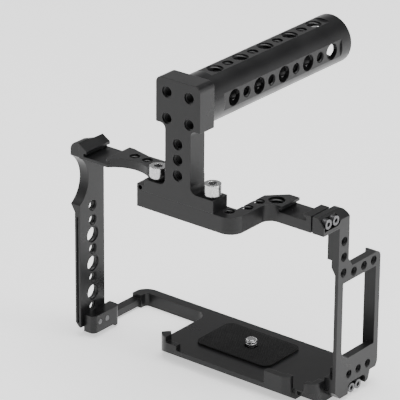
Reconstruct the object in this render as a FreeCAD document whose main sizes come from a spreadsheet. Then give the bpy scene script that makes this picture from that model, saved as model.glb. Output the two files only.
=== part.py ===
import FreeCAD, Part
import math
import os
import re
import Sketcher

# Camera cage with a top handle. X runs along the width, Y from the front to the back, Z up.
# The origin lies under the middle of the width and depth, at the underside of the base plate.

SIZES = {
    # whole cage
    "half_width": 84.5,
    "inside_height": 98.0,
    "front_line": -68.0,
    "running_gap": 0.05,
    "edge_break": 0.6,
    # holes with an inch thread, and small metric screws
    "quarter_radius": 3.175,
    "three_eighth_radius": 4.76,
    "hole_pitch": 8.95,
    "cap_radius": 2.75,
    "cap_height": 3.0,
    "small_screw_radius": 1.5,
    "small_socket": 2.5,
    "screw_gap": 0.15,
    # base plate
    "base_thickness": 8.0,
    "base_front": -37.8,
    "base_rear": 16.1,
    "base_left": -30.0,
    "base_right": 77.0,
    "base_step_back": 5.0,
    "base_step_at": 63.2,
    "base_left_round": 9.0,
    "base_front_round": 4.6,
    "base_right_round": 6.0,
    "under_bevel_run": 7.5,
    "under_bevel_rise": 4.8,
    "lip_wall": 3.8,
    "left_lip_end": -14.7,
    "left_lip_step": -22.4,
    "left_lip_low": 2.8,
    "left_lip_high": 6.0,
    "middle_lip_start": 47.0,
    "middle_lip_high": 7.5,
    "right_lip_start": 70.4,
    "right_lip_high": 5.1,
    "scallop_start": 66.0,
    "scallop_width": 10.0,
    "scallop_depth": 2.6,
    "scallop_low": 3.2,
    "scallop_high": 7.0,
    # strap round the battery door, and the foot of the grip side
    "rear_bar": 6.1,
    "rear_block": 11.1,
    "rear_block_width": 6.5,
    "outer_round": 8.0,
    "notch_round": 7.0,
    "block_round": 3.5,
    "strap_width": 5.5,
    "strap_low": 1.3,
    "strap_thickness": 4.4,
    "foot_front": -43.0,
    "foot_rear": -20.0,
    "foot_thickness": 7.5,
    "foot_low": 2.5,
    "foot_high": 13.2,
    "foot_round": 3.0,
    # rubber pad and camera screw
    "pad_left": -13.2,
    "pad_right": 38.2,
    "pad_front": -23.6,
    "pad_rear": 9.0,
    "pad_thickness": 1.0,
    "pad_round": 5.0,
    "screw_x": 15.0,
    "screw_y": -7.5,
    "screw_radius": 3.1,
    "screw_neck": 2.6,
    "screw_hole_gap": 0.35,
    "screw_head_radius": 6.5,
    "screw_head_height": 2.8,
    "screw_rest": 0.5,
    "screw_reach": 4.4,
    "screw_slot": 1.5,
    "screw_travel": 1.0,
    "web_thickness": 1.8,
    "clip_radius": 4.9,
    "clip_thickness": 0.65,
    # grip plate
    "grip_face": -78.0,
    "grip_thin": 3.8,
    "grip_front": -45.6,
    "grip_rear": -24.6,
    "grip_low": 5.5,
    "grip_high": 119.5,
    "grip_back_high": 116.2,
    "grip_top_flat": 8.0,
    "grip_step_low": 76.5,
    "grip_step_high": 81.0,
    "grip_top_round": 5.5,
    "grip_corner": 2.6,
    "finger_y": -55.9,
    "finger_z": 96.0,
    "finger_radius": 18.0,
    "grip_hole_y": -34.5,
    "grip_first_hole": 77.9,
    "groove_width": 1.3,
    "groove_depth": 0.9,
    "grip_screw_z": 8.5,
    "grip_screw_y": -34.1,
    "grip_screw_pitch": 6.2,
    "grip_top_screw_z": 113.2,
    "grip_top_screw_y": -34.5,
    "grip_top_screw_pitch": 9.0,
    # top bar
    "bar_thickness": 9.7,
    "arm_thickness": 5.3,
    "cross_left": -18.0,
    "cross_left_depth": 8.5,
    "cross_rear": -55.0,
    "leg_left": 40.0,
    "leg_right": 47.8,
    "leg_front_round": 8.0,
    "leg_inner_round": 6.0,
    "right_arm_front": -37.3,
    "bar_right": 76.0,
    "shoe_rear": -21.2,
    "leg_cut": 9.6,
    "shoe_opening": 14.2,
    "shoe_undercut": 18.6,
    "shoe_lip": 1.6,
    "shoe_depth": 3.5,
    "right_shoe_x": 63.6,
    "left_shoe_x": -65.4,
    "left_shoe_front": -46.0,
    "left_shoe_rear": -25.6,
    "left_arm_start": -54.0,
    "left_arm_rear": -28.6,
    "left_leg_right": -3.5,
    "left_leg_rear": -27.6,
    "dial_x": -42.0,
    "dial_y": -59.5,
    "dial_radius": 20.5,
    "leg_hole_x": 43.1,
    "leg_hole_first": -59.8,
    "leg_hole_second": -49.4,
    "leg_hole_third": -39.2,
    "leg_big_hole_x": 49.1,
    "leg_big_hole_y": -31.7,
    "arm_hole_y": -33.4,
    # port plate
    "port_thick": 7.5,
    "port_plate": 4.7,
    "port_bar_thin": 2.2,
    "port_front": -23.0,
    "port_bar_rear": -18.2,
    "column_rear": -13.8,
    "column_foot": 85.0,
    "shoulder_run": 3.4,
    "port_arm_high": 80.2,
    "port_arm_low": 71.8,
    "port_low": 2.5,
    "port_rear_bar": 4.1,
    "port_open_low": 25.0,
    "port_open_round": 7.0,
    "port_top_round": 5.5,
    "port_rear_round": 4.0,
    "port_bevel_x": 4.2,
    "port_bevel_z": 5.0,
    "port_tail_high": 12.8,
    "port_tail_run": 8.4,
    "port_front_corner": 4.6,
    "column_hole_y": -18.3,
    "column_first_hole": 96.9,
    "port_hole_pitch": 9.3,
    "port_arm_hole_y": -8.7,
    "port_arm_hole_z": 75.9,
    "port_low_hole_radius": 2.5,
    "port_low_hole_y": -10.7,
    "port_low_hole_z": 14.6,
    "port_low_pitch": 8.7,
    "top_slot_y": -29.4,
    "top_slot_z": 111.65,
    "top_slot_length": 14.2,
    "top_slot_depth": 3.2,
    "top_screw_pitch": 6.7,
    "low_notch_front": -11.0,
    "low_notch_rear": 5.0,
    "low_notch_high": 8.9,
    "low_notch_depth": 3.3,
    "low_screw_y": -4.2,
    "low_screw_z": 4.8,
    "low_screw_pitch": 6.0,
    # handle bracket and bolts
    "handle_x": 10.0,
    "bracket_depth": 12.0,
    "block_left_reach": 22.9,
    "block_right_reach": 24.2,
    "block_height": 7.3,
    "block_round": 2.4,
    "lug_length": 5.1,
    "lug_height": 3.6,
    "lug_depth": 6.8,
    "lug_hole_radius": 1.3,
    "post_width": 17.2,
    "post_fillet": 4.0,
    "head_width": 29.8,
    "head_low": 159.0,
    "head_high": 185.0,
    "head_round": 3.5,
    "head_fillet": 3.2,
    "head_hole_pitch": 15.0,
    "head_hole_depth": 9.0,
    "post_first_hole": 131.1,
    "post_hole_pitch": 9.0,
    "bolt_reach": 18.6,
    "bolt_middle": 0.5,
    "bolt_gap": 0.35,
    "bolt_radius": 3.125,
    "bolt_length": 14.0,
    "bolt_head_radius": 4.76,
    "bolt_head_height": 6.35,
    "bolt_socket": 4.76,
    "bolt_socket_depth": 3.2,
    "bolt_ring_radius": 5.3,
    "bolt_ring_thickness": 0.7,
    "pin_radius": 1.5,
    "pin_length": 7.0,
    "pin_reach": 10.0,
    # handle tube
    "tube_length": 124.0,
    "tube_z": 169.7,
    "tube_radius": 14.1,
    "tube_bore": 10.6,
    "tube_flat": 13.2,
    "tube_flat_start": 10.4,
    "tube_flat_end": 8.5,
    "tube_first_hole": 19.4,
    "tube_hole_pitch": 10.95,
    "tube_web": 6.0,
    "tube_bolt_radius": 4.0,
    "tube_bolt_head": 6.5,
    "tube_bolt_head_height": 8.0,
    "tube_bolt_length": 13.0,
    "tube_bolt_socket": 6.0,
    "tube_pin_reach": 8.6,
}

BASE_TOP = "base_thickness"
BAR_LOW = "base_thickness + inside_height"
BAR_TOP = BAR_LOW + " + bar_thickness"
ARM_LOW = BAR_TOP + " - arm_thickness"
BLOCK_TOP = BAR_TOP + " + block_height"
GRIP_OUTER = "-half_width"
GRIP_THIN_OUTER = "grip_face - grip_thin"
CROSS_FRONT = "front_line"
HEAD_REAR = "front_line + bracket_depth"

document = FreeCAD.newDocument("CameraCage")
sheet = document.addObject("Spreadsheet::Sheet", "sizes")
for row, (alias, value) in enumerate(SIZES.items(), start=1):
    sheet.set("A%d" % row, alias.replace("_", " "))
    sheet.set("B%d" % row, str(value))
    sheet.setAlias("B%d" % row, alias)
document.recompute()


def linked(text):
    """Put the sheet's name before each size named in an expression."""
    def link(word):
        return "sizes." + word.group() if word.group() in SIZES else word.group()
    return re.sub(r"[a-z][a-z_]*", link, text)


def bind(item, path, text):
    item.setExpression(path, linked(text))


def new_body(name):
    body = document.addObject("PartDesign::Body", name)
    body.Label = name
    return body


def sketch_on(body, name, role, height):
    """An empty sketch, parallel to one origin plane of its body and a bound height above it."""
    sketch = body.newObject("Sketcher::SketchObject", name)
    plane = next(item for item in body.Origin.OriginFeatures if item.Role == role)
    sketch.AttachmentSupport = (plane, [""])
    sketch.MapMode = "FlatFace"
    bind(sketch, "AttachmentOffset.Base.z", height)
    return sketch


def pin_point(sketch, item, end, across, along):
    """Tie one point of a sketch to two expressions, measured from the sketch's origin."""
    for kind, text in (("DistanceX", across), ("DistanceY", along)):
        number = sketch.addConstraint(Sketcher.Constraint(kind, -1, 1, item, end, 1.0))
        bind(sketch, "Constraints[%d]" % number, text)


def outline(body, name, role, corners, height="0"):
    """A closed sketch of straight sides through the given corners."""
    sketch = sketch_on(body, name, role, height)
    count = len(corners)
    turn = 2 * math.pi / count
    spots = [FreeCAD.Vector(40 * math.cos(turn * k), 40 * math.sin(turn * k), 0) for k in range(count)]
    for number in range(count):
        sketch.addGeometry(Part.LineSegment(spots[number], spots[(number + 1) % count]), False)
    for number in range(count):
        sketch.addConstraint(Sketcher.Constraint("Coincident", number, 2, (number + 1) % count, 1))
    for number, (across, along) in enumerate(corners):
        pin_point(sketch, number, 1, across, along)
    return sketch


def rectangle(body, name, role, across, along, height="0"):
    """A closed sketch between two expressions each way."""
    corners = [(across[0], along[0]), (across[1], along[0]), (across[1], along[1]), (across[0], along[1])]
    return outline(body, name, role, corners, height)


def circles(body, name, role, spots, radius, height="0"):
    """A sketch of equal circles at the given spots."""
    sketch = sketch_on(body, name, role, height)
    for number, (across, along) in enumerate(spots):
        middle = FreeCAD.Vector(10 * number, 5, 0)
        sketch.addGeometry(Part.Circle(middle, FreeCAD.Vector(0, 0, 1), 2.0), False)
        pin_point(sketch, number, 3, across, along)
        size = sketch.addConstraint(Sketcher.Constraint("Radius", number, 2.0))
        bind(sketch, "Constraints[%d]" % size, radius)
    return sketch


def volume_of(feature):
    return feature.Shape.Volume if feature else 0.0


def feature_on(body, kind, name, sketch, length, reverse):
    """A pad or pocket of a bound length, checked to have changed the body's volume."""
    before = volume_of(body.Tip)
    feature = body.newObject(kind, name)
    feature.Profile = sketch
    feature.Reversed = reverse
    bind(feature, "Length", length)
    body.Tip = feature
    document.recompute()
    if abs(feature.Shape.Volume - before) < 1e-3:
        raise RuntimeError(name + " changes nothing")
    return feature


def pad(body, name, sketch, length, reverse=False):
    return feature_on(body, "PartDesign::Pad", name, sketch, length, reverse)


def pocket(body, name, sketch, length, reverse=False):
    return feature_on(body, "PartDesign::Pocket", name, sketch, length, reverse)


def corner_edges(body, sketch, numbers):
    """Names of the body's edges that stand on the numbered corners of a sketch."""
    normal = sketch.Placement.Rotation.multVec(FreeCAD.Vector(0, 0, 1))
    names = []
    for number in numbers:
        corner = sketch.Placement.multVec(sketch.getPoint(number, 1))
        for count, edge in enumerate(body.Tip.Shape.Edges, start=1):
            first, last = edge.Vertexes[0].Point, edge.Vertexes[-1].Point
            if (first - corner).cross(normal).Length < 1e-4 and (last - corner).cross(normal).Length < 1e-4:
                names.append("Edge%d" % count)
    return names


def dress(body, kind, name, names, prop, size):
    """A fillet or chamfer of a bound size on the named edges."""
    base = body.Tip
    feature = body.newObject(kind, name)
    feature.Base = (base, names)
    bind(feature, prop, size)
    body.Tip = feature
    document.recompute()
    if not names or "Invalid" in feature.State or not feature.Shape.isValid():
        raise RuntimeError("%s fails on %s" % (name, names))
    return feature


def round_corners(body, name, sketch, numbers, radius):
    return dress(body, "PartDesign::Fillet", name, corner_edges(body, sketch, numbers), "Radius", radius)


def face_edges(body, axis, height):
    """Names of the edges that lie in the plane at one height along X, Y or Z."""
    names = []
    for count, edge in enumerate(body.Tip.Shape.Edges, start=1):
        box = edge.BoundBox
        low, high = {"X": (box.XMin, box.XMax), "Y": (box.YMin, box.YMax), "Z": (box.ZMin, box.ZMax)}[axis]
        if abs(low - height) < 1e-4 and abs(high - height) < 1e-4:
            names.append("Edge%d" % count)
    return names


def plate_outline(body):
    """Plan of the base: the plate, the bar behind the battery door and its end block."""
    return outline(body, "PlateOutline", "XY_Plane", [
        ("base_left", "base_front"),
        ("base_step_at", "base_front"),
        ("base_step_at", "base_front + base_step_back"),
        ("base_right", "base_front + base_step_back"),
        ("base_right", "base_rear"),
        (GRIP_THIN_OUTER, "base_rear"),
        (GRIP_THIN_OUTER, "base_rear - rear_block"),
        (GRIP_THIN_OUTER + " + rear_block_width", "base_rear - rear_block"),
        (GRIP_THIN_OUTER + " + rear_block_width", "base_rear - rear_bar"),
        ("base_left", "base_rear - rear_bar"),
    ])


def strap_and_foot(body):
    """The thinner side strap, and the upright foot that the grip plate is screwed to."""
    inner = GRIP_THIN_OUTER + " + strap_width"
    strap = outline(body, "StrapOutline", "XY_Plane", [
        (GRIP_THIN_OUTER, "grip_rear + 2 * screw_gap"),
        ("grip_face + foot_thickness", "grip_rear + 2 * screw_gap"),
        ("grip_face + foot_thickness", "foot_rear"),
        (inner, "foot_rear"),
        (inner, "base_rear - rear_block + 1"),
        (GRIP_THIN_OUTER, "base_rear - rear_block + 1"),
    ], "strap_low")
    pad(body, "Strap", strap, "strap_thickness")
    round_corners(body, "StrapRound", strap, [3], "block_round")
    across = ("grip_face + running_gap", "grip_face + foot_thickness")
    foot = rectangle(body, "FootOutline", "XY_Plane", across, ("foot_front", "foot_rear"), "foot_low")
    pad(body, "Foot", foot, "foot_high - foot_low")
    round_corners(body, "FootRound", foot, [1, 2], "foot_round")


def lips(body):
    """Three lips along the front that stop the camera from turning on the plate."""
    front, back = "base_front", "base_front + lip_wall"
    step = "base_front + base_step_back"
    hook = outline(body, "HookOutline", "XY_Plane", [
        ("base_left", front),
        ("left_lip_end", front),
        ("left_lip_end", back),
        ("base_left + base_left_round", back),
        ("base_left + lip_wall", "base_front + base_left_round + edge_break"),
        ("base_left", "base_front + base_left_round + edge_break"),
    ], BASE_TOP)
    pad(body, "Hook", hook, "left_lip_high")
    middle = outline(body, "MiddleLipOutline", "XY_Plane", [
        ("middle_lip_start", front),
        ("base_step_at", front),
        ("base_step_at", step),
        ("base_step_at - lip_wall", step),
        ("base_step_at - lip_wall", back),
        ("middle_lip_start", back),
    ], BASE_TOP)
    pad(body, "MiddleLip", middle, "middle_lip_high")
    right = outline(body, "RightLipOutline", "XY_Plane", [
        ("right_lip_start", step),
        ("base_right", step),
        ("base_right", "port_front"),
        ("base_right - lip_wall", "port_front"),
        ("base_right - lip_wall", step + " + lip_wall"),
        ("right_lip_start", step + " + lip_wall"),
    ], BASE_TOP)
    pad(body, "RightLip", right, "right_lip_high")


def hook_step(body):
    """The hook is lower over its straight part, and starts partway round the corner."""
    low = rectangle(body, "HookStepOutline", "XY_Plane", ("left_lip_step", "left_lip_end + 1"),
                    ("base_front - 1", "base_front + lip_wall + 1"), BASE_TOP + " + left_lip_low")
    pocket(body, "HookStep", low, "left_lip_high", True)
    end = outline(body, "HookEndOutline", "XY_Plane", [
        ("base_left - 1", "base_front + 2"),
        ("base_left + lip_wall + 3", "base_front + base_left_round + edge_break + 1"),
        ("base_left - 1", "base_front + base_left_round + edge_break + 1"),
    ], BASE_TOP)
    pocket(body, "HookEnd", end, "left_lip_high + 1", True)


def under_bevels(body):
    """The long bevel under the front edge, once for each of the two front faces."""
    pieces = [
        ("Left", "base_front", "base_left - 1", "base_step_at"),
        ("Right", "base_front + base_step_back", "base_step_at", "base_right + 1"),
    ]
    for word, front, start, end in pieces:
        bevel = outline(body, "Bevel" + word + "Outline", "YZ_Plane", [
            (front + " - 9", "under_bevel_rise"),
            (front, "under_bevel_rise"),
            (front + " + under_bevel_run", "0"),
            (front + " + under_bevel_run", "-1"),
            (front + " - 9", "-1"),
        ], end)
        pocket(body, "Bevel" + word, bevel, "%s - (%s)" % (end, start))
    scallop = rectangle(body, "ScallopOutline", "XZ_Plane", ("scallop_start", "scallop_start + scallop_width"),
                        ("scallop_low", "scallop_high"), "-(base_front + base_step_back - 1)")
    pocket(body, "Scallop", scallop, "scallop_depth + 1")


def base_holes(body):
    """Screw hole with a recess on each side, tripod sockets and the small threaded holes."""
    spot = [("screw_x", "screw_y")]
    recess = "base_thickness - web_thickness - clip_thickness - screw_travel - 3 * running_gap"
    hole = circles(body, "ScrewHoleOutline", "XY_Plane", spot, "screw_radius + screw_hole_gap", BASE_TOP)
    pocket(body, "ScrewHole", hole, "base_thickness")
    under = circles(body, "HeadRecessOutline", "XY_Plane", spot, "screw_head_radius + 2 * screw_hole_gap")
    pocket(body, "HeadRecess", under, recess, True)
    over = circles(body, "ClipRecessOutline", "XY_Plane", spot, "clip_radius + screw_hole_gap", BASE_TOP)
    pocket(body, "ClipRecess", over, "base_thickness - web_thickness - (%s)" % recess)
    socket = circles(body, "SocketOutline", "XY_Plane", [("screw_x + 3 * hole_pitch", "screw_y")],
                     "three_eighth_radius")
    pocket(body, "Socket", socket, "base_thickness - 1", True)
    small = circles(body, "SmallSocketOutline", "XY_Plane", [("screw_x - 3 * hole_pitch", "screw_y")],
                    "quarter_radius")
    pocket(body, "SmallSocket", small, "base_thickness - 1", True)
    foot = screw_row("grip_screw_y", "grip_screw_pitch", "grip_screw_z")
    taps = circles(body, "FootTapOutline", "YZ_Plane", foot, "small_screw_radius + screw_gap",
                   "grip_face + foot_thickness")
    pocket(body, "FootTaps", taps, "foot_thickness")
    side = screw_row("low_screw_y", "low_screw_pitch", "low_screw_z")
    ends = circles(body, "SideTapOutline", "YZ_Plane", side, "small_screw_radius + screw_gap", "base_right")
    pocket(body, "SideTaps", ends, "cap_height * 4")


def screw_row(middle, pitch, height):
    """Two screw axes, half a pitch on either side of the middle."""
    return [("%s - %s / 2" % (middle, pitch), height), ("%s + %s / 2" % (middle, pitch), height)]


def base_plate():
    body = new_body("base_plate")
    plan = plate_outline(body)
    pad(body, "Plate", plan, "base_thickness")
    lips(body)
    round_corners(body, "LeftRound", plan, [0], "base_left_round")
    round_corners(body, "FrontRound", plan, [1], "base_front_round")
    round_corners(body, "RightRound", plan, [3], "base_right_round")
    round_corners(body, "OuterRound", plan, [5], "outer_round")
    round_corners(body, "NotchRound", plan, [9], "notch_round")
    round_corners(body, "EndBlockRound", plan, [8], "block_round")
    hook_step(body)
    strap_and_foot(body)
    under_bevels(body)
    base_holes(body)
    return body


def base_pad():
    body = new_body("base_pad")
    plan = rectangle(body, "PadOutline", "XY_Plane", ("pad_left", "pad_right"), ("pad_front", "pad_rear"), BASE_TOP)
    pad(body, "Pad", plan, "pad_thickness")
    round_corners(body, "PadRound", plan, [0, 1, 2, 3], "pad_round")
    hole = circles(body, "PadHoleOutline", "XY_Plane", [("screw_x", "screw_y")],
                   "screw_radius + 2 * screw_hole_gap", BASE_TOP + " + pad_thickness")
    pocket(body, "PadHole", hole, "pad_thickness")
    return body


def screw_clip():
    """Split-free ring on the shank that keeps the camera screw in the base."""
    body = new_body("screw_clip")
    low = "base_thickness - clip_thickness - screw_travel - running_gap * 2"
    ring = circles(body, "ClipOutline", "XY_Plane", [("screw_x", "screw_y")], "clip_radius", low)
    pad(body, "Clip", ring, "clip_thickness")
    hole = circles(body, "ClipHoleOutline", "XY_Plane", [("screw_x", "screw_y")],
                   "screw_neck + running_gap", low)
    pocket(body, "ClipHole", hole, "clip_thickness", True)
    return body


def camera_screw():
    """Quarter inch camera screw with a coin slot in its head and a bevelled tip."""
    body = new_body("camera_screw")
    spot = [("screw_x", "screw_y")]
    head = circles(body, "HeadOutline", "XY_Plane", spot, "screw_head_radius", "screw_rest")
    pad(body, "Head", head, "screw_head_height")
    neck = circles(body, "NeckOutline", "XY_Plane", spot, "screw_neck", "screw_rest")
    pad(body, "Neck", neck, "base_thickness + pad_thickness + screw_reach - screw_rest")
    start = "base_thickness + pad_thickness + screw_gap"
    thread = circles(body, "ThreadOutline", "XY_Plane", spot, "screw_radius", start)
    pad(body, "Thread", thread, "screw_reach - screw_gap")
    slot = rectangle(body, "SlotOutline", "XY_Plane",
                     ("screw_x - screw_head_radius - 1", "screw_x + screw_head_radius + 1"),
                     ("screw_y - screw_slot / 2", "screw_y + screw_slot / 2"), "screw_rest")
    pocket(body, "CoinSlot", slot, "screw_slot", True)
    top = body.Tip.Shape.BoundBox.ZMax
    dress(body, "PartDesign::Chamfer", "Tip", face_edges(body, "Z", top), "Size", "edge_break")
    return body


def grip_outline(body):
    """Side view of the grip plate: a straight bar with a top that falls to the rear."""
    return outline(body, "GripOutline", "YZ_Plane", [
        ("grip_front", "grip_low"),
        ("grip_rear", "grip_low"),
        ("grip_rear", "grip_back_high"),
        ("grip_front + grip_top_flat", "grip_high"),
        ("grip_front", "grip_high"),
    ], "grip_face")


def grip_plate():
    body = new_body("grip_plate")
    side = grip_outline(body)
    pad(body, "Plate", side, "half_width + grip_face", True)
    thin = outline(body, "ThinOutline", "XZ_Plane", [
        (GRIP_OUTER + " - 1", "grip_low - 1"),
        (GRIP_THIN_OUTER + " + grip_corner", "grip_low - 1"),
        (GRIP_THIN_OUTER + " + grip_corner", "grip_low"),
        (GRIP_THIN_OUTER, "grip_low + grip_corner"),
        (GRIP_THIN_OUTER, "grip_step_low"),
        (GRIP_OUTER, "grip_step_high"),
        (GRIP_OUTER + " - 1", "grip_step_high"),
    ], "-(grip_front - 1)")
    pocket(body, "Thinned", thin, "grip_rear - grip_front + 2")
    outer = [name for name in face_edges(body, "X", body.Tip.Shape.BoundBox.XMin)
             if body.Tip.Shape.getElement(name).BoundBox.ZMin > body.Tip.Shape.BoundBox.ZMax - 6]
    dress(body, "PartDesign::Fillet", "TopRound", outer, "Radius", "grip_top_round")
    bite = circles(body, "FingerOutline", "YZ_Plane", [("finger_y", "finger_z")], "finger_radius", "grip_face + 1")
    pocket(body, "FingerBite", bite, "half_width + grip_face + 2")
    groove = rectangle(body, "GrooveOutline", "XZ_Plane",
                       (GRIP_THIN_OUTER + " + grip_thin / 2 - groove_width / 2",
                        GRIP_THIN_OUTER + " + grip_thin / 2 + groove_width / 2"),
                       ("grip_low + grip_corner", "grip_step_low - grip_corner"), "-(grip_front - 1)")
    pocket(body, "EdgeGroove", groove, "groove_depth + 1")
    grip_holes(body)
    return body


def grip_holes(body):
    """A row of threaded holes down the plate, small ones and large ones, and four screw holes."""
    large = [2, 4, 6]
    small = [0, 1, 3, 5, 7]
    for word, steps, radius in (("Small", small, "quarter_radius"), ("Large", large, "three_eighth_radius")):
        spots = [("grip_hole_y", "grip_first_hole - %d * hole_pitch" % step) for step in steps]
        holes = circles(body, word + "HoleOutline", "YZ_Plane", spots, radius, "grip_face + 1")
        pocket(body, word + "Holes", holes, "half_width + grip_face + 2")
    low = screw_row("grip_screw_y", "grip_screw_pitch", "grip_screw_z")
    high = screw_row("grip_top_screw_y", "grip_top_screw_pitch", "grip_top_screw_z")
    holes = circles(body, "ScrewHoleOutline", "YZ_Plane", low + high, "small_screw_radius + screw_gap",
                    "grip_face + 1")
    pocket(body, "ScrewHoles", holes, "half_width + grip_face + 2")
    sink = circles(body, "LowSinkOutline", "YZ_Plane", low, "cap_radius + screw_gap",
                   GRIP_THIN_OUTER + " + cap_height * 0.6")
    pocket(body, "LowSinks", sink, "cap_height")
    deep = circles(body, "HighSinkOutline", "YZ_Plane", high, "cap_radius + screw_gap",
                   GRIP_OUTER + " + cap_height + 2 * screw_gap")
    pocket(body, "HighSinks", deep, "cap_height * 2")


def top_outline(body):
    """Plan of the thick right part: cross bar, leg and the arm with the right accessory shoe."""
    return outline(body, "TopOutline", "XY_Plane", [
        ("cross_left", CROSS_FRONT),
        ("leg_right", CROSS_FRONT),
        ("leg_right", "right_arm_front"),
        ("bar_right", "right_arm_front"),
        ("bar_right", "shoe_rear"),
        ("leg_left + leg_cut", "shoe_rear"),
        ("leg_left", "shoe_rear - leg_cut"),
        ("leg_left", "cross_rear"),
        ("cross_left", "cross_rear"),
        ("cross_left - 1", "front_line + cross_left_depth"),
    ], BAR_LOW)


def arm_outline(body):
    """Plan of the thinner left part, from the left accessory shoe to the left leg."""
    return outline(body, "ArmOutline", "XY_Plane", [
        ("grip_face + running_gap", "left_shoe_front"),
        ("left_arm_start", "left_shoe_front"),
        ("left_arm_start", "dial_y + dial_radius / 2"),
        ("cross_left - 1", "dial_y"),
        ("cross_left", "front_line + cross_left_depth"),
        ("left_leg_right", "front_line + cross_left_depth"),
        ("left_leg_right", "left_leg_rear"),
        ("dial_x", "left_arm_rear"),
        ("left_arm_start - 1", "left_shoe_rear"),
        ("grip_face + running_gap", "left_shoe_rear"),
    ], ARM_LOW)


def shoe(body, word, middle, front, rear):
    """An accessory shoe: a channel open at both ends under two overhanging lips."""
    depth = "%s - (%s) + 2" % (rear, front)
    place = "-(%s - 1)" % front
    mouth = rectangle(body, word + "MouthOutline", "XZ_Plane",
                      (middle + " - shoe_opening / 2", middle + " + shoe_opening / 2"),
                      (BAR_TOP + " - shoe_depth", BAR_TOP + " + 6"), place)
    pocket(body, word + "Mouth", mouth, depth)
    under = rectangle(body, word + "ChannelOutline", "XZ_Plane",
                      (middle + " - shoe_undercut / 2", middle + " + shoe_undercut / 2"),
                      (BAR_TOP + " - shoe_depth", BAR_TOP + " - shoe_lip"), place)
    pocket(body, word + "Channel", under, depth)


def top_holes(body):
    """Threaded holes of the leg and arm, bolt holes, pin holes and end screw holes."""
    depth = "bar_thickness + 2"
    above = BAR_TOP + " + 1"
    small = [("leg_hole_x - hole_pitch / 2", "leg_hole_first"), ("leg_hole_x", "leg_hole_second"),
             ("leg_hole_x", "leg_hole_third"), ("dial_x - hole_pitch / 2 - 1.5", "arm_hole_y"),
             ("dial_x + hole_pitch / 2 - 1.5", "arm_hole_y")]
    small = small + bolt_spots()
    holes = circles(body, "SmallHoleOutline", "XY_Plane", small, "quarter_radius", above)
    pocket(body, "SmallHoles", holes, depth)
    large = circles(body, "LargeHoleOutline", "XY_Plane", [("leg_big_hole_x", "leg_big_hole_y")],
                    "three_eighth_radius", above)
    pocket(body, "LargeHole", large, depth)
    pins = circles(body, "PinHoleOutline", "XY_Plane", pin_spots(), "pin_radius + running_gap", BAR_TOP)
    pocket(body, "PinHoles", pins, "pin_length / 2 + running_gap")
    right = screw_row("top_slot_y", "top_screw_pitch", "top_slot_z")
    ends = circles(body, "RightTapOutline", "YZ_Plane", right, "small_screw_radius + screw_gap", "bar_right")
    pocket(body, "RightTaps", ends, "bar_right - right_shoe_x - shoe_undercut / 2 - 0.3")
    left = screw_row("grip_top_screw_y", "grip_top_screw_pitch", "grip_top_screw_z")
    taps = circles(body, "LeftTapOutline", "YZ_Plane", left, "small_screw_radius + screw_gap", "grip_face")
    pocket(body, "LeftTaps", taps, "left_shoe_x - grip_face - shoe_undercut / 2 - 0.3", True)


def bolt_spots():
    """Axes of the two bolts that hold the handle bracket on the cross bar."""
    middle = "handle_x + bolt_middle"
    return [(middle + " - bolt_reach", "front_line + bracket_depth / 2"),
            (middle + " + bolt_reach", "front_line + bracket_depth / 2")]


def pin_spots():
    """Axes of the two pins that keep the bracket from turning."""
    return [("handle_x - pin_reach", "front_line + bracket_depth / 2"),
            ("handle_x + pin_reach", "front_line + bracket_depth / 2")]


def top_bar():
    body = new_body("top_bar")
    plan = top_outline(body)
    pad(body, "RightPart", plan, "bar_thickness")
    round_corners(body, "FrontRound", plan, [1], "leg_front_round")
    round_corners(body, "InnerRound", plan, [2], "leg_inner_round")
    arm = arm_outline(body)
    pad(body, "LeftPart", arm, "arm_thickness")
    dial = circles(body, "DialOutline", "XY_Plane", [("dial_x", "dial_y")], "dial_radius", BAR_TOP + " + 1")
    pocket(body, "DialCutOut", dial, "bar_thickness + 2")
    rail = outline(body, "RailOutline", "XZ_Plane", [
        ("grip_face + running_gap", ARM_LOW),
        ("left_shoe_x - shoe_opening / 2", ARM_LOW),
        ("left_shoe_x - shoe_opening / 2", BAR_TOP),
        ("grip_face + running_gap", "grip_high - edge_break"),
    ], "-left_shoe_rear")
    pad(body, "LeftRail", rail, "left_shoe_rear - left_shoe_front")
    shoe(body, "Left", "left_shoe_x", "left_shoe_front", "left_shoe_rear")
    shoe(body, "Right", "right_shoe_x", "right_arm_front", "shoe_rear")
    top_holes(body)
    return body


def port_outline(body):
    """Side view of the port plate: top block, column, arm and the frame round the port doors."""
    return outline(body, "PortOutline", "YZ_Plane", [
        ("right_arm_front", BAR_LOW),
        ("port_front", BAR_LOW),
        ("port_front", "port_low + port_front_corner"),
        ("port_front + port_front_corner", "port_low"),
        ("base_rear - port_tail_run - 6", "port_low"),
        ("base_rear - port_tail_run", "port_low + 2"),
        ("base_rear - port_tail_run + 1.6", "port_tail_high - 3"),
        ("base_rear - 1.6", "port_tail_high - 3"),
        ("base_rear", "port_tail_high"),
        ("base_rear", "port_arm_high"),
        ("column_rear + shoulder_run", "port_arm_high"),
        ("column_rear", "column_foot"),
        ("column_rear", BAR_TOP),
        ("right_arm_front", BAR_TOP),
    ], "half_width")


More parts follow.
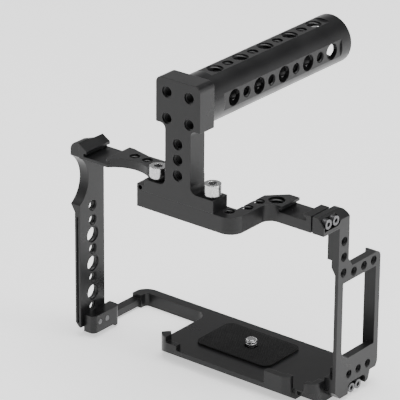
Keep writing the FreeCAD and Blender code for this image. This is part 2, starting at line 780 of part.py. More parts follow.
def port_thinning(body):
    """Steps that take the column down from its full thickness to the thin front bar."""
    inner = "half_width - port_thick - 1"
    steps = outline(body, "StepOutline", "XZ_Plane", [
        (inner, "port_arm_low"),
        ("half_width - port_bar_thin", "port_arm_low"),
        ("half_width - port_bar_thin", "port_arm_low + 6"),
        ("half_width - port_plate", "port_arm_low + 10"),
        ("half_width - port_plate", "column_foot + 1"),
        (inner, "column_foot + 1"),
    ], "-(port_front - 1)")
    pocket(body, "ColumnSteps", steps, "port_bar_rear - port_front + 1")
    bar = rectangle(body, "BarOutline", "XZ_Plane", (inner, "half_width - port_bar_thin"),
                    ("base_thickness + right_lip_high + 2", "port_arm_low"), "-(port_front - 1)")
    pocket(body, "ThinBar", bar, "port_bar_rear - port_front + 1.5")
    arm = rectangle(body, "ArmOutline", "XZ_Plane", (inner, "half_width - port_plate"),
                    ("port_open_low - 6", "column_foot + 1"), "-port_bar_rear")
    pocket(body, "ThinArm", arm, "base_rear - port_rear_bar - port_bar_rear")


def port_openings(body):
    """The opening for the camera's ports, and the recesses for the two pairs of screws."""
    opening = outline(body, "OpeningOutline", "YZ_Plane", [
        ("port_bar_rear", "port_open_low"),
        ("base_rear - port_rear_bar", "port_open_low"),
        ("base_rear - port_rear_bar", "port_arm_low"),
        ("port_bar_rear", "port_arm_low"),
    ], "half_width + 1")
    pocket(body, "Opening", opening, "port_thick + 3")
    round_corners(body, "OpeningRound", opening, [0], "port_open_round")
    slot = outline(body, "TopSlotOutline", "YZ_Plane", [
        ("top_slot_y - top_slot_length / 2", "top_slot_z - cap_radius - 4 * screw_gap"),
        ("top_slot_y + top_slot_length / 2", "top_slot_z - cap_radius - 4 * screw_gap"),
        ("top_slot_y + top_slot_length / 2", "top_slot_z + cap_radius + 4 * screw_gap"),
        ("top_slot_y - top_slot_length / 2", "top_slot_z + cap_radius + 4 * screw_gap"),
    ], "half_width + 1")
    pocket(body, "TopSlot", slot, "top_slot_depth + 1")
    round_corners(body, "TopSlotRound", slot, [1, 2], "cap_radius")
    notch = rectangle(body, "NotchOutline", "YZ_Plane", ("low_notch_front", "low_notch_rear"),
                      ("port_low - 1", "low_notch_high"), "half_width + 1")
    pocket(body, "LowNotch", notch, "low_notch_depth + 1")
    round_corners(body, "LowNotchRound", notch, [2, 3], "cap_radius - screw_gap")


def port_holes(body):
    depth = "port_thick + 3"
    column = [("column_hole_y", "column_first_hole - %d * port_hole_pitch" % step) for step in range(3)]
    arm = [("port_arm_hole_y + %d * port_hole_pitch" % step, "port_arm_hole_z") for step in range(3)]
    arm[2] = ("base_rear - port_rear_bar - 2.4", "port_arm_hole_z")
    holes = circles(body, "HoleOutline", "YZ_Plane", column + arm, "quarter_radius * 0.84", "half_width + 1")
    pocket(body, "Holes", holes, depth)
    low = [("port_low_hole_y + %d * port_low_pitch" % step, "port_low_hole_z") for step in range(3)]
    lows = circles(body, "LowHoleOutline", "YZ_Plane", low, "port_low_hole_radius", "half_width + 1")
    pocket(body, "LowHoles", lows, depth)
    screws = screw_row("top_slot_y", "top_screw_pitch", "top_slot_z")
    screws = screws + screw_row("low_screw_y", "low_screw_pitch", "low_screw_z")
    taps = circles(body, "ScrewHoleOutline", "YZ_Plane", screws, "small_screw_radius + screw_gap",
                   "half_width + 1")
    pocket(body, "ScrewHoles", taps, depth)


def port_plate():
    body = new_body("port_plate")
    side = port_outline(body)
    pad(body, "Plate", side, "port_thick", True)
    round_corners(body, "ShoulderRound", side, [9], "port_rear_round")
    round_corners(body, "TopRound", side, [12], "port_top_round")
    port_thinning(body)
    port_openings(body)
    bevel = outline(body, "BevelOutline", "XZ_Plane", [
        ("half_width - port_bevel_x", BAR_TOP + " + 1"),
        ("half_width - port_bevel_x", BAR_TOP),
        ("half_width", BAR_TOP + " - port_bevel_z"),
        ("half_width + 1", BAR_TOP + " - port_bevel_z"),
        ("half_width + 1", BAR_TOP + " + 1"),
    ], "-(right_arm_front - 1)")
    pocket(body, "TopBevel", bevel, "column_rear - right_arm_front + 2")
    port_holes(body)
    return body


def bracket_outline(body):
    """Front view of the handle bracket: foot block, post and head in one flat piece."""
    low, high = BAR_TOP, BLOCK_TOP
    left, right = "handle_x - post_width / 2", "handle_x + post_width / 2"
    return outline(body, "BracketOutline", "XZ_Plane", [
        ("handle_x - block_left_reach", low),
        ("handle_x + block_right_reach", low),
        ("handle_x + block_right_reach", high),
        (right, high),
        (right, "head_low"),
        ("handle_x + head_width / 2", "head_low"),
        ("handle_x + head_width / 2", "head_high"),
        ("handle_x - head_width / 2", "head_high"),
        ("handle_x - head_width / 2", "head_low"),
        (left, "head_low"),
        (left, high),
        ("handle_x - block_left_reach", high),
    ], "-front_line")


def bracket_holes(body):
    front = "-(front_line - 1)"
    spots = [("handle_x", "post_first_hole + %d * post_hole_pitch" % step) for step in range(3)]
    post = circles(body, "PostHoleOutline", "XZ_Plane", spots, "quarter_radius", front)
    pocket(body, "PostHoles", post, "bracket_depth + 2")
    half = "head_hole_pitch / 2"
    spots = [("handle_x %s %s" % (across, half), "tube_z %s %s" % (along, half))
             for across in "-+" for along in "-+"]
    head = circles(body, "HeadHoleOutline", "XZ_Plane", spots, "quarter_radius", front)
    pocket(body, "HeadHoles", head, "head_hole_depth + 1")
    bolts = circles(body, "BoltHoleOutline", "XY_Plane", bolt_spots(), "bolt_radius + bolt_gap", BLOCK_TOP)
    pocket(body, "BoltHoles", bolts, "block_height")
    pins = circles(body, "PinHoleOutline", "XY_Plane", pin_spots(), "pin_radius + running_gap", BAR_TOP)
    pocket(body, "PinHoles", pins, "pin_length / 2 + running_gap", True)
    back = "-(%s)" % HEAD_REAR
    screw = circles(body, "TubeBoltOutline", "XZ_Plane", [("handle_x", "tube_z")],
                    "tube_bolt_radius + running_gap", back)
    pocket(body, "TubeBoltHole", screw, "tube_bolt_length - tube_web + 1", True)
    dowels = circles(body, "DowelOutline", "XZ_Plane", dowel_spots(), "pin_radius + running_gap", back)
    pocket(body, "DowelHoles", dowels, "pin_length / 2 + running_gap", True)


def dowel_spots():
    """Axes of the two dowels between the bracket's head and the tube."""
    return [("handle_x", "tube_z - tube_pin_reach"), ("handle_x", "tube_z + tube_pin_reach")]


def handle_bracket():
    body = new_body("handle_bracket")
    front = bracket_outline(body)
    pad(body, "Bracket", front, "bracket_depth", True)
    round_corners(body, "HeadRound", front, [6, 7], "head_round")
    round_corners(body, "HeadFillet", front, [4, 9], "head_fillet")
    round_corners(body, "PostFillet", front, [3, 10], "post_fillet")
    plan = rectangle(body, "EndOutline", "XY_Plane", ("handle_x - block_left_reach - lug_length",
                     "handle_x - block_left_reach + 1"), ("front_line", "front_line + lug_depth"), BAR_TOP)
    pad(body, "Lug", plan, "lug_height")
    hole = circles(body, "LugHoleOutline", "XZ_Plane",
                   [("handle_x - block_left_reach - lug_length * 0.55", BAR_TOP + " + lug_height / 2")],
                   "lug_hole_radius", "-(front_line - 1)")
    pocket(body, "LugHole", hole, "lug_depth / 2 + 1")
    bracket_holes(body)
    return body


def handle_tube():
    """Tube with four flats, a solid web at the front end and rows of holes in every flat."""
    body = new_body("handle_tube")
    middle = [("handle_x", "tube_z")]
    front = "-(%s)" % HEAD_REAR
    round_bar = circles(body, "TubeOutline", "XZ_Plane", middle, "tube_radius", front)
    pad(body, "RoundBar", round_bar, "tube_length", True)
    bore = circles(body, "BoreOutline", "XZ_Plane", middle, "tube_bore", front + " - tube_length")
    pocket(body, "Bore", bore, "tube_length - tube_web", True)
    screw = circles(body, "WebHoleOutline", "XZ_Plane", middle, "tube_bolt_radius + bolt_gap", front)
    pocket(body, "WebHole", screw, "tube_web + 1")
    dowels = circles(body, "DowelOutline", "XZ_Plane", dowel_spots(), "pin_radius + running_gap", front)
    pocket(body, "DowelHoles", dowels, "pin_length / 2 + running_gap")
    far = "tube_radius + 1"
    sides = [
        ("Top", ("handle_x - %s" % far, "handle_x + %s" % far), ("tube_z + tube_flat", "tube_z + " + far)),
        ("Under", ("handle_x - %s" % far, "handle_x + %s" % far), ("tube_z - (%s)" % far, "tube_z - tube_flat")),
        ("Left", ("handle_x - (%s)" % far, "handle_x - tube_flat"), ("tube_z - (%s)" % far, "tube_z + " + far)),
        ("Right", ("handle_x + tube_flat", "handle_x + " + far), ("tube_z - (%s)" % far, "tube_z + " + far)),
    ]
    for word, across, along in sides:
        flat = rectangle(body, word + "FlatOutline", "XZ_Plane", across, along, front + " - tube_flat_start")
        pocket(body, word + "Flat", flat, "tube_length - tube_flat_start - tube_flat_end")
    tube_holes(body, far)
    return body


def tube_holes(body, far):
    """Five large and four small holes along each flat, right through to the flat opposite."""
    start = HEAD_REAR + " + tube_first_hole"
    sizes = (("Large", range(0, 9, 2), "three_eighth_radius"), ("Small", range(1, 9, 2), "quarter_radius"))
    for word, steps, radius in sizes:
        along = ["%s + %d * tube_hole_pitch" % (start, step) for step in steps]
        down = circles(body, word + "DownOutline", "XY_Plane", [("handle_x", place) for place in along],
                       radius, "tube_z + " + far)
        pocket(body, word + "DownHoles", down, "2 * (%s)" % far)
        across = circles(body, word + "AcrossOutline", "YZ_Plane", [(place, "tube_z") for place in along],
                         radius, "handle_x + " + far)
        pocket(body, word + "AcrossHoles", across, "2 * (%s)" % far)


def cylinder(name, radius, height):
    item = document.addObject("Part::Cylinder", name)
    bind(item, "Radius", radius)
    bind(item, "Height", height)
    return item


def socket_screw(name, head_radius, head_height, shank_radius, length, flats, depth):
    """Cap screw along +Z from its tip, with a hexagon socket in the top of its head."""
    shank = cylinder(name + "_shank", shank_radius, length + " + 0.1")
    head = cylinder(name + "_head", head_radius, head_height)
    bind(head, "Placement.Base.z", length)
    blank = document.addObject("Part::Fuse", name + "_blank")
    blank.Base, blank.Tool = shank, head
    hexagon = document.addObject("Part::Prism", name + "_hexagon")
    hexagon.Polygon = 6
    bind(hexagon, "Circumradius", "(%s) / 2 / cos(30 deg)" % flats)
    bind(hexagon, "Height", depth + " + 1")
    bind(hexagon, "Placement.Base.z", "%s + %s - (%s)" % (length, head_height, depth))
    screw = document.addObject("Part::Cut", name)
    screw.Base, screw.Tool = blank, hexagon
    screw.Label = name
    return screw


def move(item, across, along, height, turn=None):
    """Place an item at three expressions, turned first where its axis isn't upright."""
    if turn:
        item.Placement = FreeCAD.Placement(FreeCAD.Vector(), turn)
    for path, text in (("x", across), ("y", along), ("z", height)):
        bind(item, "Placement.Base." + path, text)
    return item


def group(name, items):
    together = document.addObject("Part::Compound", name)
    together.Links = items
    together.Label = name
    return together


def turned_to(direction):
    return FreeCAD.Rotation(FreeCAD.Vector(0, 0, 1), FreeCAD.Vector(*direction))


def side_screws(name, tip, length, row, direction):
    """A pair of small cap screws lying along X, with the tips at one place."""
    screws = []
    for number, (along, height) in enumerate(row, start=1):
        screw = socket_screw("%s_%d" % (name, number), "cap_radius", "cap_height", "small_screw_radius",
                             length, "small_socket", "cap_height / 2")
        screws.append(move(screw, tip, along, height, turned_to(direction)))
    return group(name, screws)


def grip_screws():
    low = screw_row("grip_screw_y", "grip_screw_pitch", "grip_screw_z")
    high = screw_row("grip_top_screw_y", "grip_top_screw_pitch", "grip_top_screw_z")
    flat = []
    for number, (along, height) in enumerate(low, start=1):
        name = "grip_lower_screws_%d" % number
        shank = cylinder(name + "_shank", "small_screw_radius", "grip_thin + foot_thickness - cap_height * 0.6 + 0.1")
        head = cylinder(name + "_head", "cap_radius", "cap_height * 0.6")
        bind(head, "Placement.Base.z", "grip_thin + foot_thickness - cap_height * 0.6")
        blank = document.addObject("Part::Fuse", name + "_blank")
        blank.Base, blank.Tool = shank, head
        hexagon = document.addObject("Part::Prism", name + "_hexagon")
        hexagon.Polygon = 6
        bind(hexagon, "Circumradius", "small_socket / 2 / cos(30 deg)")
        bind(hexagon, "Height", "cap_height")
        bind(hexagon, "Placement.Base.z", "grip_thin + foot_thickness - cap_height * 0.3")
        screw = document.addObject("Part::Cut", name)
        screw.Base, screw.Tool = blank, hexagon
        flat.append(move(screw, "grip_face + foot_thickness", along, height, turned_to((-1, 0, 0))))
    group("grip_lower_screws", flat)
    reach = "left_shoe_x - shoe_undercut / 2 - grip_face - 0.5"
    side_screws("grip_upper_screws", "grip_face + " + reach,
                "half_width + grip_face - cap_height - 2 * screw_gap + " + reach, high, (-1, 0, 0))


def port_screws():
    """Two pairs of cap screws, into the end of the top bar and into the edge of the base."""
    high = screw_row("top_slot_y", "top_screw_pitch", "top_slot_z")
    low = screw_row("low_screw_y", "low_screw_pitch", "low_screw_z")
    reach = "bar_right - right_shoe_x - shoe_undercut / 2 - 0.5"
    side_screws("port_upper_screws", "bar_right - (%s)" % reach,
                "half_width - top_slot_depth - bar_right + " + reach, high, (1, 0, 0))
    side_screws("port_lower_screws", "base_right - 3 * cap_height",
                "half_width - low_notch_depth - base_right + 3 * cap_height", low, (1, 0, 0))


def handle_bolts():
    """Quarter inch cap screws through the bracket's block, each with a ring under its head."""
    for word, (across, along) in zip(("left", "right"), bolt_spots()):
        bolt = socket_screw("handle_bolt_" + word, "bolt_head_radius", "bolt_head_height", "bolt_radius",
                            "bolt_length", "bolt_socket", "bolt_socket_depth")
        move(bolt, across, along, BLOCK_TOP + " + bolt_ring_thickness + running_gap - bolt_length")
        ring = document.addObject("Part::Cut", "bolt_ring_" + word)
        ring.Base = cylinder("bolt_ring_%s_disc" % word, "bolt_ring_radius", "bolt_ring_thickness")
        ring.Tool = cylinder("bolt_ring_%s_hole" % word, "bolt_radius + running_gap", "bolt_ring_thickness")
        ring.Label = "bolt_ring_" + word
        move(ring, across, along, BLOCK_TOP)


def tube_fixings():
    """The bolt inside the tube, the dowels at its front end and the pins under the bracket."""
    bolt = socket_screw("tube_bolt", "tube_bolt_head", "tube_bolt_head_height", "tube_bolt_radius",
                        "tube_bolt_length", "tube_bolt_socket", "tube_bolt_head_height / 2")
    move(bolt, "handle_x", HEAD_REAR + " + tube_web - tube_bolt_length", "tube_z", turned_to((0, 1, 0)))
    dowels = []
    for number, (across, height) in enumerate(dowel_spots(), start=1):
        dowel = cylinder("tube_dowels_%d" % number, "pin_radius", "pin_length")
        dowels.append(move(dowel, across, HEAD_REAR + " - pin_length / 2", height, turned_to((0, 1, 0))))
    group("tube_dowels", dowels)
    pins = []
    for number, (across, along) in enumerate(pin_spots(), start=1):
        pin = cylinder("bracket_pins_%d" % number, "pin_radius", "pin_length")
        pins.append(move(pin, across, along, BAR_TOP + " - pin_length / 2"))
    group("bracket_pins", pins)


NODES = [
    "base_plate", "base_pad", "screw_clip", "camera_screw", "grip_plate", "grip_lower_screws",
    "grip_upper_screws", "top_bar", "port_plate", "port_upper_screws", "port_lower_screws",
    "handle_bracket", "handle_tube", "handle_bolt_left", "handle_bolt_right", "bolt_ring_left",
    "bolt_ring_right", "tube_bolt", "tube_dowels", "bracket_pins",
]


def build():
    base_plate()
    base_pad()
    screw_clip()
    camera_screw()
    grip_plate()
    top_bar()
    port_plate()
    handle_bracket()
    handle_tube()
    grip_screws()
    port_screws()
    handle_bolts()
    tube_fixings()
    document.recompute()


def write():
    """Check every object, then write one file for each sub-part."""
    for item in document.Objects:
        if "Invalid" in item.State or "Error" in item.State:
            raise RuntimeError("%s is in state %s" % (item.Label, item.State))
    os.makedirs("parts", exist_ok=True)
    for name in NODES:
        shape = document.getObjectsByLabel(name)[0].Shape
        if shape.isNull() or not shape.isValid():
            raise RuntimeError(name + " has no valid shape")
        shape.exportStep("parts/%s.step" % name)
        box = shape.BoundBox
        print("%-20s %3d solids %9.1f mm3  X %6.1f %6.1f  Y %6.1f %6.1f  Z %6.1f %6.1f" % (
            name, len(shape.Solids), shape.Volume, box.XMin, box.XMax, box.YMin, box.YMax, box.ZMin, box.ZMax))


build()
write()
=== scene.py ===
import math

import bmesh
import bpy
import numpy as np
from mathutils import Matrix, Vector


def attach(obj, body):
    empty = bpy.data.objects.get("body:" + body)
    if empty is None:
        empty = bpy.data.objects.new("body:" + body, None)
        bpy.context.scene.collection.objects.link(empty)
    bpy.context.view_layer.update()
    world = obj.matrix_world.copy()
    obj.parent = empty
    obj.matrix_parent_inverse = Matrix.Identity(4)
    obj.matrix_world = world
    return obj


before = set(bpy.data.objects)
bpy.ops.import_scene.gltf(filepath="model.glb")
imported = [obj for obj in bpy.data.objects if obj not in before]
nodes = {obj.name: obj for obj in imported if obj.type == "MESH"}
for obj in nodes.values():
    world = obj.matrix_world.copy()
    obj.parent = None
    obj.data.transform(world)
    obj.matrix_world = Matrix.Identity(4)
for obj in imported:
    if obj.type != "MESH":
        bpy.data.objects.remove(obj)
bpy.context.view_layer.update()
mm = 0.001
print("stage: frame loaded")

# ---- camera, at the angle and distance of the photograph
view = {
    "azimuth": 38.32,  # degrees round from the front towards the port side
    "elevation": 23.71,
    "roll": 0.45,
    "lens": 279.5,
    "distance": 1643.4 * mm,
    "sensor": 36,
    "clip": (0.05, 30),
    "aimShift": (-11.376 * mm, 17.83 * mm),  # right and up, from the aim point to the view's middle
    "aimPoint": (40 * mm, -68 * mm, 106 * mm),  # lower front edge of the cross bar
}


def makeCamera():
    az, el, roll = (math.radians(view[key]) for key in ("azimuth", "elevation", "roll"))
    look = Vector((-math.sin(az) * math.cos(el), math.cos(az) * math.cos(el), -math.sin(el)))
    side = Vector((math.cos(az), math.sin(az), 0))
    rise = side.cross(look)
    right = math.cos(roll) * side + math.sin(roll) * rise
    up = -math.sin(roll) * side + math.cos(roll) * rise
    shiftRight, shiftUp = view["aimShift"]
    eye = Vector(view["aimPoint"]) - view["distance"] * look + shiftRight * right + shiftUp * up
    data = bpy.data.cameras.new("camera")
    data.lens = view["lens"]
    data.sensor_width = view["sensor"]
    data.clip_start, data.clip_end = view["clip"]
    camera = bpy.data.objects.new("camera", data)
    turn = Matrix((right, up, -look)).transposed().to_4x4()
    camera.matrix_world = Matrix.Translation(eye) @ turn
    bpy.context.collection.objects.link(camera)
    bpy.context.scene.camera = camera


makeCamera()

# ---- studio: pale floor, soft boxes and an even surround
studio = {
    "floorSize": 8.0,
    "floorColor": (0.93, 0.93, 0.93, 1),
    "floorGlow": 0.7,  # light of its own, so that the floor comes out paler
    "floorRoughness": 0.9,
    "floorSpecular": 0.1,
    "low": 0.95,  # brightness of the surround at the horizon and below
    "high": 0.12,  # and overhead, so that upward curves run darker between the boxes
    "change": (0.12, 0.62),  # upward share of the direction where the change begins and ends
    "lookAt": (0, 0, 0.1),
    "lights": [  # name, place, size, power, all aimed at the cage
        ("topBox", (0.1, 0.1, 1.6), 1.3, 34),
        ("portSideBox", (1.5, 0.55, 0.7), 0.9, 16),
        ("gripSideBox", (-1.4, -0.5, 0.9), 0.9, 8),
    ],
}


def makeStudio():
    half = studio["floorSize"] / 2
    mesh = bpy.data.meshes.new("floor")
    corners = [(-half, -half, 0), (half, -half, 0), (half, half, 0), (-half, half, 0)]
    mesh.from_pydata(corners, [], [(0, 1, 2, 3)])
    floor = bpy.data.objects.new("floor", mesh)
    bpy.context.collection.objects.link(floor)
    material = bpy.data.materials.new("paleFloor")
    material.use_nodes = True
    shader = material.node_tree.nodes["Principled BSDF"]
    shader.inputs["Base Color"].default_value = studio["floorColor"]
    shader.inputs["Emission Color"].default_value = (1, 1, 1, 1)
    shader.inputs["Emission Strength"].default_value = studio["floorGlow"]
    shader.inputs["Roughness"].default_value = studio["floorRoughness"]
    shader.inputs["Specular IOR Level"].default_value = studio["floorSpecular"]
    mesh.materials.append(material)
    for name, place, size, power in studio["lights"]:
        data = bpy.data.lights.new(name, "AREA")
        data.size = size
        data.energy = power
        light = bpy.data.objects.new(name, data)
        light.location = place
        aim = Vector(studio["lookAt"]) - Vector(place)
        light.rotation_euler = aim.to_track_quat("-Z", "Y").to_euler()
        bpy.context.collection.objects.link(light)
    world = bpy.data.worlds.new("surround")
    bpy.context.scene.world = world
    world.use_nodes = True
    tree = world.node_tree
    place = tree.nodes.new("ShaderNodeTexCoord")
    parts = tree.nodes.new("ShaderNodeSeparateXYZ")
    tree.links.new(place.outputs["Generated"], parts.inputs["Vector"])
    height = tree.nodes.new("ShaderNodeMapRange")
    height.interpolation_type = "SMOOTHSTEP"
    height.inputs["From Min"].default_value, height.inputs["From Max"].default_value = studio["change"]
    height.inputs["To Min"].default_value = studio["low"]
    height.inputs["To Max"].default_value = studio["high"]
    tree.links.new(parts.outputs["Z"], height.inputs["Value"])
    tree.links.new(height.outputs["Result"], tree.nodes["Background"].inputs["Strength"])
    tree.nodes["Background"].inputs["Color"].default_value = (1, 1, 1, 1)


makeStudio()
print("stage: camera and studio")

# ---- finishes
grainDetail, cloudDetail = 3, 4
grainSpan = (0.35, 0.68)  # noise values that take the dark and the light colour
cloudSpan = (0.3, 0.7)  # noise values that take the least and the most roughness
edgeHighlightSpan = (0.985, 0.80)  # cosine between flat and bevelled normal, from no painted edge highlight to full
bevelSamples = 4
# edge: a paler colour painted along the edges as a highlight, not a real change of finish
finishes = {
    "anodisedBlack": {
        "dark": (0.004, 0.004, 0.0043, 1),
        "light": (0.009, 0.009, 0.0095, 1),
        "edge": (0.045, 0.045, 0.047, 1),
        "metallic": 0.0, "roughness": (0.26, 0.38), "grainScale": 2600, "cloudScale": 45,
        "grainDepth": 0.000010, "grainStrength": 0.5, "edgeRadius": 0.0004, "specular": 0.33,
    },
    "padRubber": {
        "dark": (0.003, 0.003, 0.0032, 1),
        "light": (0.007, 0.007, 0.0073, 1),
        "edge": (0.02, 0.02, 0.02, 1),
        "metallic": 0.0, "roughness": (0.62, 0.8), "grainScale": 1500, "cloudScale": 60,
        "grainDepth": 0.00003, "grainStrength": 0.7, "edgeRadius": 0.0003, "specular": 0.22,
    },
    "brightSteel": {
        "dark": (0.42, 0.42, 0.43, 1),
        "light": (0.62, 0.62, 0.62, 1),
        "edge": (0.9, 0.9, 0.9, 1),
        "metallic": 1.0, "roughness": (0.16, 0.28), "grainScale": 1800, "cloudScale": 120,
        "grainDepth": 0.000004, "grainStrength": 0.25, "edgeRadius": 0.0005, "specular": 0.5,
    },
    "darkSteel": {
        "dark": (0.10, 0.10, 0.105, 1),
        "light": (0.17, 0.17, 0.175, 1),
        "edge": (0.4, 0.4, 0.4, 1),
        "metallic": 0.9, "roughness": (0.28, 0.4), "grainScale": 1800, "cloudScale": 150,
        "grainDepth": 0.000006, "grainStrength": 0.3, "edgeRadius": 0.00025, "specular": 0.5,
    },
}


def makeFinish(name):
    """Fine grain for colour and bump, broad clouds for roughness, and a painted highlight: a paler colour on
    edges found by the bevel normal, patchy by the clouds.
    """
    look = finishes[name]
    material = bpy.data.materials.new(name)
    material.use_nodes = True
    tree = material.node_tree
    shader = tree.nodes["Principled BSDF"]
    shader.inputs["Metallic"].default_value = look["metallic"]
    shader.inputs["Specular IOR Level"].default_value = look["specular"]
    place = tree.nodes.new("ShaderNodeTexCoord")
    grain = tree.nodes.new("ShaderNodeTexNoise")
    grain.inputs["Scale"].default_value = look["grainScale"]
    grain.inputs["Detail"].default_value = grainDetail
    clouds = tree.nodes.new("ShaderNodeTexNoise")
    clouds.inputs["Scale"].default_value = look["cloudScale"]
    clouds.inputs["Detail"].default_value = cloudDetail
    for noise in (grain, clouds):
        tree.links.new(place.outputs["Object"], noise.inputs["Vector"])
    colors = tree.nodes.new("ShaderNodeValToRGB")
    for stop, position, key in zip(colors.color_ramp.elements, grainSpan, ("dark", "light")):
        stop.position = position
        stop.color = look[key]
    tree.links.new(grain.outputs["Fac"], colors.inputs["Fac"])
    soft = tree.nodes.new("ShaderNodeBevel")
    soft.samples = bevelSamples
    soft.inputs["Radius"].default_value = look["edgeRadius"]
    flat = tree.nodes.new("ShaderNodeNewGeometry")
    turn = tree.nodes.new("ShaderNodeVectorMath")
    turn.operation = "DOT_PRODUCT"
    tree.links.new(soft.outputs["Normal"], turn.inputs[0])
    tree.links.new(flat.outputs["Normal"], turn.inputs[1])
    # painted highlight: mask of bevelled edges, where the paler edge colour stands in for light caught on
    # the chamfers
    edgeHighlightMask = tree.nodes.new("ShaderNodeMapRange")
    edgeHighlightMask.inputs["From Min"].default_value, edgeHighlightMask.inputs["From Max"].default_value = edgeHighlightSpan
    tree.links.new(turn.outputs["Value"], edgeHighlightMask.inputs["Value"])
    patchyEdgeHighlight = tree.nodes.new("ShaderNodeMath")
    patchyEdgeHighlight.operation = "MULTIPLY"
    tree.links.new(edgeHighlightMask.outputs["Result"], patchyEdgeHighlight.inputs[0])
    tree.links.new(clouds.outputs["Fac"], patchyEdgeHighlight.inputs[1])
    mixed = tree.nodes.new("ShaderNodeMix")
    mixed.data_type = "RGBA"
    tree.links.new(patchyEdgeHighlight.outputs["Value"], mixed.inputs["Factor"])
    tree.links.new(colors.outputs["Color"], mixed.inputs["A"])
    mixed.inputs["B"].default_value = look["edge"]
    tree.links.new(mixed.outputs["Result"], shader.inputs["Base Color"])
    rough = tree.nodes.new("ShaderNodeMapRange")
    rough.inputs["From Min"].default_value, rough.inputs["From Max"].default_value = cloudSpan
    rough.inputs["To Min"].default_value, rough.inputs["To Max"].default_value = look["roughness"]
    tree.links.new(clouds.outputs["Fac"], rough.inputs["Value"])
    tree.links.new(rough.outputs["Result"], shader.inputs["Roughness"])
    bump = tree.nodes.new("ShaderNodeBump")
    bump.inputs["Strength"].default_value = look["grainStrength"]
    bump.inputs["Distance"].default_value = look["grainDepth"]
    tree.links.new(grain.outputs["Fac"], bump.inputs["Height"])
    tree.links.new(soft.outputs["Normal"], bump.inputs["Normal"])
    tree.links.new(bump.outputs["Normal"], shader.inputs["Normal"])
    return material


materials = {name: makeFinish(name) for name in finishes}
nodeFinish = {
    "anodisedBlack": ["base_plate", "grip_plate", "top_bar", "port_plate", "handle_bracket", "handle_tube"],
    "padRubber": ["base_pad", "bolt_ring_left", "bolt_ring_right"],
    "brightSteel": ["camera_screw", "handle_bolt_left", "handle_bolt_right"],
    "darkSteel": ["screw_clip", "grip_lower_screws", "grip_upper_screws", "port_upper_screws",
                  "port_lower_screws", "tube_bolt", "tube_dowels", "bracket_pins"],
}
for finish, names in nodeFinish.items():
    for nodeName in names:
        node = nodes[nodeName]
        if not node.material_slots:
            node.data.materials.append(materials[finish])
        for place in node.material_slots:
            place.material = materials[finish]
print("stage: finishes on the carried-over nodes")


def makePiece(name, points, faces, finish, body):
    mesh = bpy.data.meshes.new(name)
    mesh.from_pydata(points.tolist(), [], faces.tolist())
    work = bmesh.new()
    work.from_mesh(mesh)
    bmesh.ops.recalc_face_normals(work, faces=work.faces)
    work.to_mesh(mesh)
    work.free()
    piece = bpy.data.objects.new(name, mesh)
    bpy.context.collection.objects.link(piece)
    mesh.materials.append(materials[finish])
    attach(piece, body)
    return piece


# ---- threads: ridges that follow a screw line down each hole
quarter = {"radius": 3.175, "pitch": 1.27, "depth": 0.62}
threeEighth = {"radius": 4.76, "pitch": 1.5875, "depth": 0.8}
metricFive = {"radius": 2.667, "pitch": 0.9, "depth": 0.45}
metricLow = {"radius": 2.5, "pitch": 0.9, "depth": 0.42}
screwThread = {"radius": 3.1, "pitch": 1.27, "depth": 0.13}
ridge = {
    "steps": 22,  # rows of points a turn
    "least": 8,
    "sunk": 0.04,  # how far the ridge's foot reaches into the wall
    "faint": 0.03,  # share of the crest that is left at each end
    "lead": 0.45,  # pitches from the start to the middle of the first turn
    "trim": 0.9,  # pitches that the helix is shorter than the hole
    "profile": (-0.42, -0.09, 0.09, 0.42),  # foot, crest, crest, foot, in pitches
}


def screwRidge(start, axis, length, thread, outward=False):
    """Four profile points carried round a helix, one turn a pitch.

    The crest fades in and out over a quarter turn.
    """
    axis = np.array(axis, float)
    across = np.roll(np.abs(axis), 1)
    other = np.cross(axis, across)
    pitch = thread["pitch"]
    turns = (length - ridge["trim"] * pitch) / pitch
    count = max(ridge["least"], int(round(turns * ridge["steps"])))
    angle = np.linspace(0, 2 * np.pi * turns, count)
    fade = np.clip(np.minimum(angle, angle[-1] - angle) / (np.pi / 2), ridge["faint"], 1)
    sign = 1 if outward else -1
    foot = np.full(count, thread["radius"] - sign * ridge["sunk"])
    crest = thread["radius"] + sign * thread["depth"] * fade
    radius = np.stack([foot, crest, crest, foot], 1)
    climb = (angle / (2 * np.pi) * pitch)[:, None]
    along = ridge["lead"] * pitch + climb + np.array(ridge["profile"]) * pitch
    ring = np.cos(angle)[:, None] * across + np.sin(angle)[:, None] * other
    points = np.array(start, float) + ring[:, None, :] * radius[:, :, None]
    points = points + axis * along[:, :, None]
    rows = np.arange(count - 1)[:, None] * 4
    columns = np.arange(4)[None, :]
    after = (columns + 1) % 4
    quads = np.stack([rows + columns, rows + after, rows + 4 + after, rows + 4 + columns], 2)
    last = (count - 1) * 4
    ends = np.array([[0, 1, 2, 3], [last, last + 1, last + 2, last + 3]])
    return points.reshape(-1, 3) * mm, np.concatenate([quads.reshape(-1, 4), ends])


def threadPiece(name, holes, finish="anodisedBlack", body="cage", outward=False):
    allPoints, allFaces, base = [], [], 0
    for start, axis, length, thread in holes:
        points, faces = screwRidge(start, axis, length, thread, outward)
        allPoints.append(points)
        allFaces.append(faces + base)
        base += len(points)
    makePiece(name, np.concatenate(allPoints), np.concatenate(allFaces), finish, body)


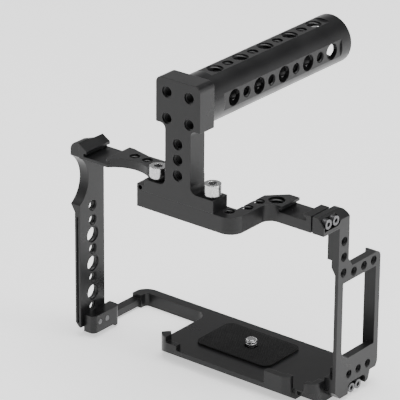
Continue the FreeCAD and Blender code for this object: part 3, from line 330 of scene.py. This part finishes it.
up, back, inward = (0, 0, 1), (0, 1, 0), (-1, 0, 0)
handle = {"x": 10.0, "z": 169.7, "front": -68.0, "flat": 13.2, "bore": 10.6,
          "firstLarge": -36.6, "step": 10.95, "count": 9}
wall = handle["flat"] - handle["bore"]
tubeHoles = []
for step in range(handle["count"]):
    along = handle["firstLarge"] + step * handle["step"]
    thread = quarter if step % 2 else threeEighth
    for axis in ((0, 0, 1), (0, 0, -1), (1, 0, 0), (-1, 0, 0)):
        inner = np.array((handle["x"], along, handle["z"])) + handle["bore"] * np.array(axis)
        tubeHoles.append((inner, axis, wall, thread))
threadPiece("tube_threads", tubeHoles)
bracket = {"headHalf": 7.5, "headDepth": 9.0, "postFirst": 131.1, "postStep": 9.0, "postDepth": 12.0}
headHoles = [((handle["x"] + dx, handle["front"], handle["z"] + dz), back, bracket["headDepth"], quarter)
             for dx in (-bracket["headHalf"], bracket["headHalf"])
             for dz in (-bracket["headHalf"], bracket["headHalf"])]
postHoles = [((handle["x"], handle["front"], bracket["postFirst"] + bracket["postStep"] * step),
              back, bracket["postDepth"], quarter) for step in range(3)]
threadPiece("bracket_threads", headHoles + postHoles)
grip = {"y": -34.5, "top": 77.9, "pitch": 8.95, "outer": -81.8, "thick": 3.8, "large": (2, 4, 6), "count": 8}
threadPiece("grip_threads", [
    ((grip["outer"], grip["y"], grip["top"] - step * grip["pitch"]), (1, 0, 0), grip["thick"],
     threeEighth if step in grip["large"] else quarter) for step in range(grip["count"])])
bar = {"low": 106.0, "thick": 9.7, "armLow": 110.4, "armThick": 5.3}
barHoles = [(38.625, -59.8, quarter), (43.1, -49.4, quarter), (43.1, -39.2, quarter),
            (49.1, -31.7, threeEighth)]
armHoles = [(-47.975, -33.4, quarter), (-39.025, -33.4, quarter)]
threadPiece("bar_threads", [
    ((x, y, low), up, thick, thread)
    for holes, low, thick in ((barHoles, bar["low"], bar["thick"]),
                              (armHoles, bar["armLow"], bar["armThick"]))
    for x, y, thread in holes])
port = {"outer": 84.5, "thick": 4.7, "lowThick": 7.0}
columnSpots = [(-18.3, 96.9 - 9.3 * step) for step in range(3)]
armSpots = [(along, 75.9) for along in (-8.7, 0.6, 9.6)]
lowSpots = [(-10.7 + 8.7 * step, 14.6) for step in range(3)]
portHoles = [((port["outer"], y, z), inward, port["thick"], metricFive) for y, z in columnSpots + armSpots]
portHoles += [((port["outer"], y, z), inward, port["lowThick"], metricLow) for y, z in lowSpots]
threadPiece("port_threads", portHoles)
base = {"y": -7.5, "depth": 7.0}
threadPiece("base_threads", [((x, base["y"], 0), up, base["depth"], thread)
                             for x, thread in ((41.85, threeEighth), (-11.85, quarter))])
threadPiece("screw_thread", [((15.0, -7.5, 9.1), up, 4.1, screwThread)],
            "brightSteel", "screw_turn", True)
print("stage: threads")

# ---- pad: slanting ribs across its top, short of its rim and of the screw
pad = {"low": (-13.2, -23.6), "high": (38.2, 9.0), "corner": 5.0, "rim": 0.9, "top": 9.0,
       "screw": (15.0, -7.5), "clear": 4.4, "spacing": 0.95, "halfWidth": 0.26, "height": 0.13,
       "sunk": 0.03, "reach": 50, "samples": 2001, "offset": 45, "shortest": 20}


def ribEnds():
    """Where lines at 45 degrees cross the rounded outline.

    A point counts while its distance to the shrunken rectangle is under the corner radius.
    """
    low, high = np.array(pad["low"]), np.array(pad["high"])
    middle, half = (low + high) / 2, (high - low) / 2
    corner = pad["corner"] - pad["rim"]
    run = np.linspace(-pad["reach"], pad["reach"], pad["samples"])
    found = []
    for offset in np.arange(-pad["offset"], pad["offset"], pad["spacing"]):
        spot = middle + (offset * np.array([1, 1]) + run[:, None] * np.array([1, -1])) / math.sqrt(2)
        out = np.maximum(np.abs(spot - middle) - (half - pad["corner"]), 0)
        clear = np.hypot(*(spot - pad["screw"]).T) > pad["clear"]
        inside = (np.hypot(out[:, 0], out[:, 1]) < corner) & clear
        edges = np.flatnonzero(np.diff(inside.astype(int)))
        found += [(spot[a + 1], spot[b]) for a, b in zip(edges[::2], edges[1::2])
                  if b - a > pad["shortest"]]
    return found


def makeRibs():
    """Each rib is a three-sided bar: two feet on the pad, one crest between, a face at each end."""
    ends = np.array(ribEnds())
    across = np.array([1, 1]) / math.sqrt(2) * pad["halfWidth"]
    count = len(ends)
    corners = np.zeros((count, 2, 3, 3))
    corners[:, :, 0, :2] = ends - across
    corners[:, :, 1, :2] = ends
    corners[:, :, 2, :2] = ends + across
    corners[:, :, (0, 2), 2] = pad["top"] - pad["sunk"]
    corners[:, :, 1, 2] = pad["top"] + pad["height"]
    first = np.arange(count)[:, None] * 6
    sides = np.concatenate([first + np.array([a, (a + 1) % 3, (a + 1) % 3 + 3, a + 3]) for a in range(3)])
    caps = np.concatenate([first + np.array([0, 1, 2]), first + np.array([3, 4, 5])])
    faces = sides.tolist() + caps.tolist()
    return corners.reshape(-1, 3) * mm, np.array(faces, dtype=object)


ribPoints, ribFaces = makeRibs()
ribPiece = makePiece("pad_ribs", ribPoints, ribFaces, "padRubber", "cage")
print("stage: pad ribs", len(ribPiece.data.polygons))
